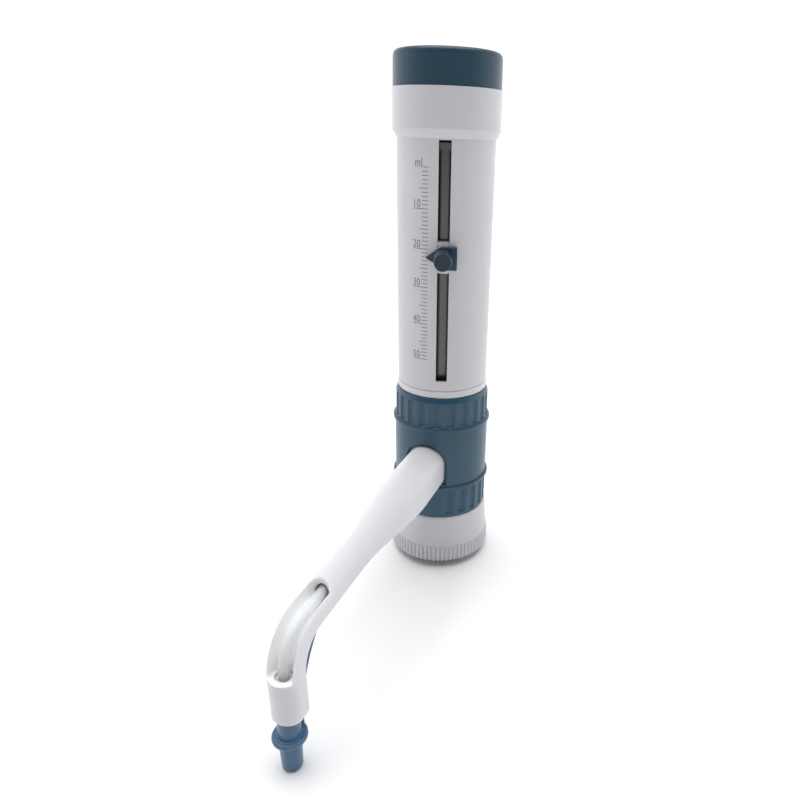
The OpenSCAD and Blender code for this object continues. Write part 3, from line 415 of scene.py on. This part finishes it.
def make_rings():
    top = NUT_Z + NUT_H
    fluted_ring(
        "nut_fluted",
        [
            (19.6, NUT_Z, 0),
            (NUT_R + 1.45, NUT_Z, 0.45),
            (NUT_R + 1.45, NUT_Z + 1.7, 0.7),
            (NUT_R, NUT_Z + 1.9, 0.15),
            (NUT_R, top - 2.4, 0.4),
            (NUT_R - 1.0, top, 0.35),
            (18.6, top, 0.2),
            (18.6, top - 3.1, 0),
            (19.6, top - 3.1, 0),
        ],
        NUT_R,
        NUT_Z + 2.0,
        top - 2.6,
        (),
        "ring_nut",
    )
    fluted_ring(
        "collar_fluted",
        [
            (18.8, COLLAR_Z, 0),
            (BLOCK_R, COLLAR_Z, 0.35),
            (BLOCK_R, COLLAR_Z + 16.8, 0.25),
            (21.3, COLLAR_Z + 16.8, 0),
            (21.3, COLLAR_Z + 4, 0),
            (18.8, COLLAR_Z + 4, 0),
        ],
        BLOCK_R,
        COLLAR_Z + 1.3,
        COLLAR_Z + 15.3,
        UNDER_ARM,
        "swivel_collar",
    )


AT_ARM = Matrix.Rotation(math.radians(-90 - ARM_TURN), 4, "Z")
FALL = math.radians(ARM_FALL)


def axis_z(x):
    """Height of the arm's straight axis."""
    return ARM_Z - (x - ARM_START) * math.tan(FALL)


def arch(width, height, steps):
    """Half an ellipse over the arm's axis, from its right side to its left."""
    angles = [math.pi * i / steps for i in range(steps + 1)]
    return [(width * math.cos(a), height * math.sin(a)) for a in angles]


def core(name, radius, steps):
    """A plug that takes away what would stand inside a radius of the block."""
    return revolve(name, [(0.01, 30), (radius, 30), (radius, 90), (0.01, 90)], steps)


def root_prism(name, margin):
    """The arm's root section, grown by a margin, from inside the shell outwards."""
    w, h, d = ROOT[0] + margin, ROOT[1] + margin, ROOT[2] + margin
    section = arch(w, h, 40) + [(-w, -d), (w, -d)]
    rings = [[(x, u, axis_z(x) + v) for u, v in section] for x in (10, 40)]
    mesh = loft(name, rings)
    mesh.transform(AT_ARM)
    return mesh


def make_shell():
    """The shell with the arm's port, and a shallow recess round the port."""
    outline = rounded(
        [
            (CORE_R + 0.1, BLOCK_Z, 0),
            (BLOCK_R + 1.2, BLOCK_Z, 0.4),
            (BLOCK_R + 1.2, BLOCK_Z + 1.4, 0.5),
            (BLOCK_R, BLOCK_Z + 1.6, 0.1),
            (BLOCK_R, SHELL_TOP, 0.3),
            (CORE_R + 0.1, SHELL_TOP, 0),
        ]
    )
    recess = cut(root_prism("recess", 1.5), core("recess_core", 23.8, 240))
    mesh = cut(revolve("shell", outline, 240), root_prism("port", 0.35), recess)
    shell = place("shell_body", bevelled(mesh, 0.22, 50), "valve_block", "slate_plastic", "block_shell")
    # Painted light: the shell in the lighter copy of the slate.
    repaint(shell, PAINTED_LIGHT_SLATE)


def make_adapter():
    """The adapter: a ribbed grip at the foot, a cone above it and the spigot."""
    ribs, foot_r, top_r, top, grip = 72, 27.2, 25.4, 26.5, 8.75
    grip_r = foot_r - (foot_r - top_r) * 8.7 / top
    groove_half, groove_depth, run_out = 0.66, 0.8, 0.5

    def radius_of(r, z, a):
        if r < 26 or z > grip:
            return r
        turn = a / (2 * math.pi / ribs) % 1
        off = abs(turn - 0.5) * 2 * math.pi * foot_r / ribs
        depth = groove_depth * (1 - (off / groove_half) ** 2) if off < groove_half else 0
        return r - depth * min(1.0, (grip - z) / run_out)

    outline = rounded(
        [
            (22.6, 0, 0.4),
            (foot_r, 0, 0.35),
            (foot_r, 8.2, 0),
            (grip_r + 0.25, grip, 0),
            (grip_r - 0.1, grip + 0.05, 0),
            (top_r, top, 1.7),
            (18.48, top, 0),
            (18.48, 36, 0.3),
            (15.08, 36, 0),
            (15.08, 17.5, 0),
            (21.3, 17.5, 0),
            (21.3, 16, 0),
            (22.6, 16, 0),
        ]
    )
    mesh = revolve("adapter", outline, ribs * (16), radius_of)
    place("adapter_body", mesh, "bottle_fitting", "white_plastic", "bottle_adapter", smooth_angle=50)


def make_thread():
    """The bottle thread's ridge, which the CAD bore leaves out: a trapezium swept up a helix in the foot."""
    pitch, per_turn, turns, first_z = 4.0, 90, 2.6, 2.4
    outer, height, run_out = 22.75, 1.25, 20
    rings = []
    for i in range(int(per_turn * turns) + 1):
        a = 2 * math.pi * i / per_turn
        fade = min(1.0, i / run_out, (per_turn * turns - i) / run_out)
        z = first_z + pitch * i / per_turn
        inner = outer - height * max(fade, 0.05)
        profile = [(outer, z - 0.95), (outer, z + 0.95), (inner, z + 0.4), (inner, z - 0.4)]
        rings.append([(r * math.cos(a), r * math.sin(a), h) for r, h in profile])
    place("bottle_thread_ridge", loft("thread", rings), "bottle_fitting", "white_plastic")


# Sleeve, head and cap
def box_mesh(name, low, high):
    (x0, y0, z0), (x1, y1, z1) = low, high
    return loft(name, [[(x0, y0, z), (x1, y0, z), (x1, y1, z), (x0, y1, z)] for z in (z0, z1)])


def slotted_tube(top):
    """The sleeve's wall with its slot; the slot's sides stand square to its opening.

    Each column has eight points: four levels on the inner wall, then the same four on the outer one.
    """
    levels, columns, half = [SLEEVE_Z, SLOT_Z, SLOT_Z + SLOT_H, top], 250, SLOT_W / 2
    vertices, faces = [], []
    for i in range(columns + 1):
        for r in (SLEEVE_IN, SLEEVE_R):
            edge = math.asin(half / r)
            a = -math.pi / 2 + edge + i * (2 * math.pi - 2 * edge) / columns
            vertices += [(r * math.cos(a), r * math.sin(a), z) for z in levels]
    for i in range(columns + 1):
        here, there = i * 8, (i + 1) % (columns + 1) * 8
        for k in range(3):
            if i == columns and k == 1:
                continue
            faces.append((here + k, there + k, there + k + 1, here + k + 1))
            faces.append((here + 4 + k, here + 5 + k, there + 5 + k, there + 4 + k))
        for k in (0, 3):
            faces.append((here + k, here + 4 + k, there + 4 + k, there + k))
    last = columns * 8
    faces += [(1, 5, 6, 2), (last + 1, last + 2, last + 6, last + 5)]
    faces += [(k, last + k, last + 4 + k, 4 + k) for k in (1, 2)]
    return mesh_from("sleeve", vertices, faces)


def make_sleeve():
    top = SLEEVE_Z + SLEEVE_H
    place("sleeve_body", bevelled(slotted_tube(top), 0.22, 50), "plunger", "white_plastic", "outer_sleeve")

    head = [(SLEEVE_IN, 0, 0), (SLEEVE_R + 0.3, 0, 0.3), (HEAD_R, 3.7, 1.4), (HEAD_R, HEAD_H, 0.12)]
    head.append((SLEEVE_IN, HEAD_H, 0))
    head = rounded([(r, HEAD_Z + z, q) for r, z, q in head])
    place("head_collar", revolve("head", head, 256), "plunger", "white_plastic", "sleeve_head")

    foot, skirt_r, skirt_in, skirt_z = HEAD_Z + HEAD_H, SLEEVE_IN - 0.1, 19.4, -8.6
    cap = [(0.01, -1, 0), (0.01, CAP_H, 0), (CAP_R - 0.25, CAP_H, 3.0), (CAP_R, 0, 0.3)]
    cap += [(skirt_r, 0, 0), (skirt_r, skirt_z, 0.3), (skirt_in, skirt_z, 0.3), (skirt_in, -1, 0)]
    cap = rounded([(r, foot + z, q) for r, z, q in cap], 8)
    place("cap_shell", revolve("cap", cap, 256), "plunger", "slate_plastic", "top_cap")


def make_pointer():
    """The plate: an arrow that points at the scale, full over the slot and thinner towards its tip."""
    back, top, tip = 6.3, 5.1, -8.2
    corners = [(back, top, 0.5), (-1.2, top, 0.9), (tip, 0.05, 0.15), (1.2, -top, 0.9), (back, -top, 0.5)]
    rings = []
    for step in range(2):
        ring = []
        for x, z in rounded(corners, 5):
            front = -(SLEEVE_R + smooth(1.3, 3.0, (x - tip) / 6))
            wall = -math.sqrt((SLEEVE_R + 0.1) ** 2 - x * x)
            ring.append((x, front if step else wall, POINTER_Z + z))
        rings.append(ring)
    mesh = bevelled(loft("plate", rings), 0.3, 50)
    place("plate_arrow", mesh, "volume_pointer", "slate_plastic", "pointer_plate")


# Scale: (arc, z) positions, where arc is the way round the sleeve from the slot's middle
MARK_RIGHT, UNIT_LEFT, FIVE_LEFT, TEN_LEFT, ZERO_LEFT = -108.2, -115.8, -119, -127.5, -114.4  # degrees
NUMBER_RIGHT, MARK_HALF, INK_LIFT = -117.8, 0.16, 0.035


def arc_at(azimuth):
    return math.radians(azimuth + 90) * SLEEVE_R


def glyphs(text, height, squeeze, right, base):
    """Polygons (arc, z) of a text in Blender's own font, condensed and right-aligned at an arc position."""
    curve = bpy.data.curves.new("glyphs", "FONT")
    curve.body, curve.resolution_u = text, 6
    mesh = taken(loose(curve))
    top, last = max(v.co.y for v in mesh.vertices), max(v.co.x for v in mesh.vertices)
    scale = height / top
    points = [(right + (v.co.x - last) * scale * squeeze, base + v.co.y * scale) for v in mesh.vertices]
    return [[points[i] for i in polygon.vertices] for polygon in mesh.polygons]


def make_scale():
    """Marks of 0 to 50 ml, printed on the sleeve left of the slot."""
    right, half, steps = arc_at(MARK_RIGHT), MARK_HALF, 6
    polygons = glyphs("ml", 3.9, 0.75, arc_at(UNIT_LEFT), ZERO_Z - 0.1)
    for ml in range(51):
        left = TEN_LEFT if ml % 10 == 0 else FIVE_LEFT if ml % 5 == 0 else UNIT_LEFT
        z, start = ZERO_Z - ml * ML_H, arc_at(left if ml else ZERO_LEFT)
        for k in range(steps):
            a, b = start + (right - start) * k / steps, start + (right - start) * (k + 1) / steps
            polygons.append([(a, z - half), (b, z - half), (b, z + half), (a, z + half)])
        if ml and ml % 10 == 0:
            polygons += glyphs(str(ml), 3.4, 0.86, arc_at(NUMBER_RIGHT), z + 0.6)
    bm = bmesh.new()
    for polygon in polygons:
        bm.faces.new([bm.verts.new((a, z, 0)) for a, z in polygon])
    for v in bm.verts:
        angle, radius = v.co.x / SLEEVE_R - math.pi / 2, SLEEVE_R + INK_LIFT
        v.co = mm(radius * math.cos(angle), radius * math.sin(angle), v.co.y)
    mesh = bpy.data.meshes.new("scale")
    bm.to_mesh(mesh)
    bm.free()
    repaint(place("scale_marks", mesh, "plunger", "white_plastic", smooth_angle=180), INK)


# Arm, tube, nozzle and cap
BEND_X = ARM_REACH - BEND_R * (1 - math.sin(FALL))
BEND_CENTRE = (BEND_X - BEND_R * math.sin(FALL), axis_z(BEND_X) - BEND_R * math.cos(FALL))
RUN_L = (BEND_X - ARM_START) / math.cos(FALL)
BEND_L = BEND_R * (math.pi / 2 - FALL)
PATH_L = RUN_L + BEND_L + NOZZLE_DROP
NOZZLE_FOOT = BEND_CENTRE[1] - NOZZLE_DROP
NOZZLE_RIM = NOZZLE_FOOT + NOZZLE_BLOCK_H


def on_path(s, outline):
    """An outline of (u across, v outward) points set square to the arm's axis at the distance s along it."""
    turn = FALL + max(0, min(1, (s - RUN_L) / BEND_L)) * (math.pi / 2 - FALL)
    if s <= RUN_L:
        x, z = ARM_START + s * math.cos(FALL), ARM_Z - s * math.sin(FALL)
    elif s <= RUN_L + BEND_L:
        x, z = BEND_CENTRE[0] + BEND_R * math.sin(turn), BEND_CENTRE[1] + BEND_R * math.cos(turn)
    else:
        x, z = ARM_REACH, BEND_CENTRE[1] - (s - RUN_L - BEND_L)
    return [(x + v * math.sin(turn), u, z + v * math.cos(turn)) for u, v in outline]


def arm_section(s):
    """The arm's outline: an arch over a flat foot, from the root's size to the slim run's to the block's."""
    slimming = (46, 108)
    if s < RUN_L:
        part = (s + ARM_START - slimming[0]) / (slimming[1] - slimming[0])
        w, h, d = (smooth(a, b, part) for a, b in zip(ROOT, SLIM))
    else:
        w, h, d = (smooth(a, b, (s - RUN_L) / (PATH_L - RUN_L)) for a, b in zip(SLIM, BLOCK))
    corner = [(math.cos(math.pi * i / 10), math.sin(math.pi * i / 10)) for i in range(10, 21)]
    left = [(-w + 1 + c, -d + 1 + q) for c, q in corner[:6]]
    right = [(w - 1 + c, -d + 1 + q) for c, q in corner[5:]]
    return on_path(s, arch(w, h, 32) + left + right)


def circle(radius, sides):
    angles = [2 * math.pi * i / sides for i in range(sides)]
    return [(radius * math.cos(a), radius * math.sin(a)) for a in angles]


def bar(name, radius, start, heading, length):
    """Round bar in the arm's plane from a start point (x, z) along a heading (x, z)."""
    (x, z), (dx, dz) = start, heading
    ring = [(q, p) for p, q in circle(radius, 48)]
    return loft(name, [[(x + dx * t - dz * p, q, z + dz * t + dx * p) for p, q in ring] for t in (0, length)])


def in_groove(point):
    """Whether a point of the arm's surface, before the arm is turned, lies on the groove's walls or floor."""
    x, across, z = point
    if x < BEND_X:
        rise = (z - axis_z(x)) * math.cos(FALL)
        end = min(0, x - (BEND_X - GROOVE_RUN))
        if end < -GROOVE_W:
            return False
        half = math.sqrt(GROOVE_W**2 - end**2)
    else:
        rise, half = math.hypot(x - BEND_CENTRE[0], z - BEND_CENTRE[1]) - BEND_R, GROOVE_W
    return abs(across) < half + 0.1 and rise > -GROOVE_FLOOR - 0.2 and z > NOZZLE_RIM - 0.2


def groove_section(s):
    """The groove's outline; before its straight stretch it narrows to a round end and its floor rises."""
    t = max(0.0, 1 - (s - RUN_L + GROOVE_RUN) / -GROOVE_W) if s < RUN_L - GROOVE_RUN else 1.0
    part = math.sqrt(max(1 - (1 - t) ** 2, 0.0004))
    w, floor, above = GROOVE_W * part, GROOVE_FLOOR * part, 18.6
    outline = [(w, above), (-w, above)]
    for i in range(17):
        a = math.pi * (1 + i / 16)
        outline.append((w * math.cos(a), w - floor + w * math.sin(a)))
    return on_path(s, outline)


def make_arm():
    """The arm: a swept skin less its tunnel, bores and groove, then remeshed so that its edges run soft."""
    bend = [RUN_L + BEND_L * i / 48 for i in range(49)]
    drop = [RUN_L + BEND_L + NOZZLE_DROP * i / 8 for i in range(1, 9)]
    steps = [RUN_L * i / 60 for i in range(60)] + bend + drop
    skin = loft("arm", [arm_section(s) for s in steps])
    start = RUN_L - GROOVE_RUN
    end_steps = [start - GROOVE_W * math.cos(math.pi / 2 * i / 12) for i in range(13)]
    groove = loft("groove", [groove_section(s) for s in end_steps + bend])
    groove = cut(groove, box_mesh("below_rim", (100, -40, 0), (200, 40, NOZZLE_RIM)))

    along = (math.cos(FALL), -math.sin(FALL))
    mesh = cut(
        skin,
        bar("tunnel", 3.0, (12, axis_z(12)), along, RUN_L - GROOVE_RUN / 2 + 6),
        bar("nut_room", 6.1, (10, axis_z(10)), along, 18.9),
        bar("nozzle_bore", 3.1, (ARM_REACH, NOZZLE_FOOT - 1), (0, 1), NOZZLE_BLOCK_H + 1.01),
        core("root_cut", CORE_R + 0.1, 160),
        groove,
    )
    obj = loose(mesh)
    remesh = obj.modifiers.new("remesh", "REMESH")
    remesh.mode, remesh.voxel_size = "VOXEL", 0.0004
    soften = obj.modifiers.new("soften", "SMOOTH")
    soften.factor, soften.iterations = 0.5, 6
    mesh = taken(obj)
    inside = [in_groove(polygon.center * 1000) for polygon in mesh.polygons]
    mesh.transform(AT_ARM)
    arm = place("arm_body", mesh, "valve_block", "white_plastic", "arm_housing", smooth_angle=180)
    # Painted light: the arm in the lighter copy of the white plastic.
    repaint(arm, PAINTED_LIGHT_WHITE)
    # The groove's faces get the painted light copy.
    arm.data.materials.append(GROOVE_PAINTED_LIGHT)
    for polygon, within in zip(arm.data.polygons, inside):
        polygon.material_index = int(within)


def make_tube():
    """The clear tube, from the core over the bend and down into the nozzle."""
    sides = 32
    x0 = ARM_REACH - TUBE_BEND_R * (1 - math.sin(FALL))
    centre = (x0 - TUBE_BEND_R * math.sin(FALL), axis_z(x0) - TUBE_BEND_R * math.cos(FALL))
    path = [(14.0, axis_z(14.0), FALL), (70.0, axis_z(70.0), FALL)]
    for i in range(33):
        turn = FALL + i * (math.pi / 2 - FALL) / 32
        x, z = centre[0] + TUBE_BEND_R * math.sin(turn), centre[1] + TUBE_BEND_R * math.cos(turn)
        path.append((x, z, turn))
    path.append((ARM_REACH, TUBE_END_Z, math.pi / 2))

    def ring(r, x, z, turn):
        return [(x + q * math.sin(turn), p, z + q * math.cos(turn)) for p, q in circle(r, sides)]

    rings = [ring(TUBE_R, *p) for p in path] + [ring(TUBE_R - TUBE_WALL, *p) for p in reversed(path)]
    faces = band_faces(len(rings), sides, closed=True)
    mesh = mesh_from("tube", [v for r in rings for v in r], faces)
    mesh.transform(AT_ARM)
    place("tube_clear", mesh, "valve_block", "clear_plastic", "discharge_tube", smooth_angle=50)


CAP_RIM = 12.1  # height of the nozzle cap's flange


def make_nozzle_cap():
    foot, hub, bore, flange_r = CAP_RIM - 16.5, NOZZLE_FOOT - 0.5, 3.08, 6.6
    outline = rounded(
        [
            (0.01, foot, 0),
            (3.93, foot, 1.7),
            (4.35, CAP_RIM - 2.2, 0.5),
            (flange_r, CAP_RIM - 2.3, 1.0),
            (flange_r, CAP_RIM, 1.0),
            (4.45, CAP_RIM, 0.6),
            (4.13, hub, 0.35),
            (bore, hub, 0.15),
            (bore, CAP_RIM - 10, 0),
            (0.01, CAP_RIM - 10, 0),
        ],
        6,
    )
    mesh = revolve("cap_blue", outline, 96)
    mesh.transform(AT_ARM @ Matrix.Translation(mm(ARM_REACH, 0, 0)))
    place("cap_blue", mesh, "nozzle_cap", "blue_cap", "nozzle_cap")


def make_strap():
    """The cap's strap: a pad under the arm, then a strip that leans out and hangs down to the flange."""
    hold = ARM_REACH - 26
    top = Vector((hold, axis_z(hold) - SLIM[2] - 0.65))
    lean, lead = math.radians(30), 15
    out = top + lead * Vector((math.cos(lean), -math.sin(lean)))
    end = Vector((ARM_REACH - 6.0, CAP_RIM - 0.6))
    over = end + Vector((0, 18))
    pad = 6
    points = [top + Vector((-pad + i, (pad - i) * math.sin(FALL))) for i in range(pad)]
    for i in range(37):
        t = i / 36
        u = 1 - t
        points.append(u**3 * top + 3 * u * u * t * out + 3 * u * t * t * over + t**3 * end)
    w, h, q = 2.3, 0.55, 0.35
    profile = rounded([(-w, -h, q), (w, -h, q), (w, h, q), (-w, h, q)])
    rings = []
    for i, p in enumerate(points):
        way = points[min(i + 1, len(points) - 1)] - points[max(i - 1, 0)]
        turn = math.atan2(-way.y, way.x)
        rings.append([(p.x + v * math.sin(turn), u, p.y + v * math.cos(turn)) for u, v in profile])
    mesh = loft("strap", rings)
    mesh.transform(AT_ARM)
    obj = finished("strap_blue", mesh, "blue_cap", 40)
    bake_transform(obj)
    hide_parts("cap_strap")


# Light and floor
WORLD_BY_HEIGHT = ((0.5, 1.3), (0.8, 0.62))  # (where from nadir to zenith, brightness)
WORLD_BY_DEPTH = ((0.2, 0.12), (0.5, 1.3))  # (where from front to back, brightness)
FLOOR_Z, FLOOR_HALF = -0.00445, 20.0  # metres


def make_world():
    """Soft light, dimmer in front and above, as the photograph's dark fronts ask for.

    The camera itself sees plain white.
    """
    world = bpy.data.worlds.new("studio")
    world.use_nodes = True
    tree = world.node_tree
    background = tree.nodes["Background"]
    where = tree.nodes.new("ShaderNodeTexCoord")
    split = tree.nodes.new("ShaderNodeSeparateXYZ")
    height = tree.nodes.new("ShaderNodeValToRGB")
    front = tree.nodes.new("ShaderNodeValToRGB")
    for ramp, stops in ((height, WORLD_BY_HEIGHT), (front, WORLD_BY_DEPTH)):
        for stop, (position, value) in zip(ramp.color_ramp.elements, stops):
            stop.position, stop.color = position, (value, value, value * 1.005, 1)
    half_z = tree.nodes.new("ShaderNodeMapRange")
    half_z.inputs["From Min"].default_value = -1
    half_y = tree.nodes.new("ShaderNodeMapRange")
    half_y.inputs["From Min"].default_value = -1
    product = tree.nodes.new("ShaderNodeMix")
    product.data_type, product.blend_type = "RGBA", "MULTIPLY"
    product.inputs["Factor"].default_value = 1
    tree.links.new(where.outputs["Generated"], split.inputs["Vector"])
    tree.links.new(split.outputs["Z"], half_z.inputs["Value"])
    tree.links.new(split.outputs["Y"], half_y.inputs["Value"])
    tree.links.new(half_z.outputs["Result"], height.inputs["Fac"])
    tree.links.new(half_y.outputs["Result"], front.inputs["Fac"])
    tree.links.new(height.outputs["Color"], product.inputs["A"])
    tree.links.new(front.outputs["Color"], product.inputs["B"])
    backdrop = tree.nodes.new("ShaderNodeMix")
    backdrop.data_type = "RGBA"
    backdrop.inputs["B"].default_value = (1.05, 1.05, 1.05, 1)
    light_path = tree.nodes.new("ShaderNodeLightPath")
    tree.links.new(light_path.outputs["Is Camera Ray"], backdrop.inputs["Factor"])
    tree.links.new(product.outputs["Result"], backdrop.inputs["A"])
    tree.links.new(backdrop.outputs["Result"], background.inputs["Color"])
    background.inputs["Strength"].default_value = 1.0
    bpy.context.scene.world = world


def make_stage():
    make_world()
    mesh = bpy.data.meshes.new("floor")
    corners = [(x * FLOOR_HALF, y * FLOOR_HALF, FLOOR_Z) for x, y in ((-1, -1), (1, -1), (1, 1), (-1, 1))]
    mesh.from_pydata(corners, [], [(0, 1, 2, 3)])
    floor = loose(mesh)
    floor.data.materials.append(moulded("pale_floor", (0.88, 0.88, 0.885), 0.99, 0.75, grain=0.0))

    sun = bpy.data.lights.new("overhead", "SUN")
    sun.energy, sun.angle = 2.3, math.radians(60)
    overhead = bpy.data.objects.new("overhead", sun)
    overhead.rotation_euler = (math.radians(-4), math.radians(-3), 0)
    bpy.context.scene.collection.objects.link(overhead)
    bpy.context.scene.view_settings.view_transform = "Standard"


make_camera()
for name, node in nodes.items():
    dress(node, SLOT_OF[name])
make_rings()
make_shell()
make_adapter()
make_thread()
make_sleeve()
make_scale()
make_arm()
make_tube()
make_nozzle_cap()
make_strap()
# Painted light: the seat ring in the lighter copy of the white plastic, for its lit ledge.
repaint(softened("seat_ring_soft", "seat_ring", "valve_block", 0.35), PAINTED_LIGHT_WHITE)
make_pointer()
softened("carrier_soft", "stop_carrier", "volume_pointer", 0.2)
# Painted shade: the knob in the darker copy of the slate.
repaint(softened("knob_soft", "clamp_knob", "clamp_knob", 0.3), PAINTED_SHADE_SLATE)
softened("nozzle_soft", "nozzle", "valve_block", 0.15)
make_stage()
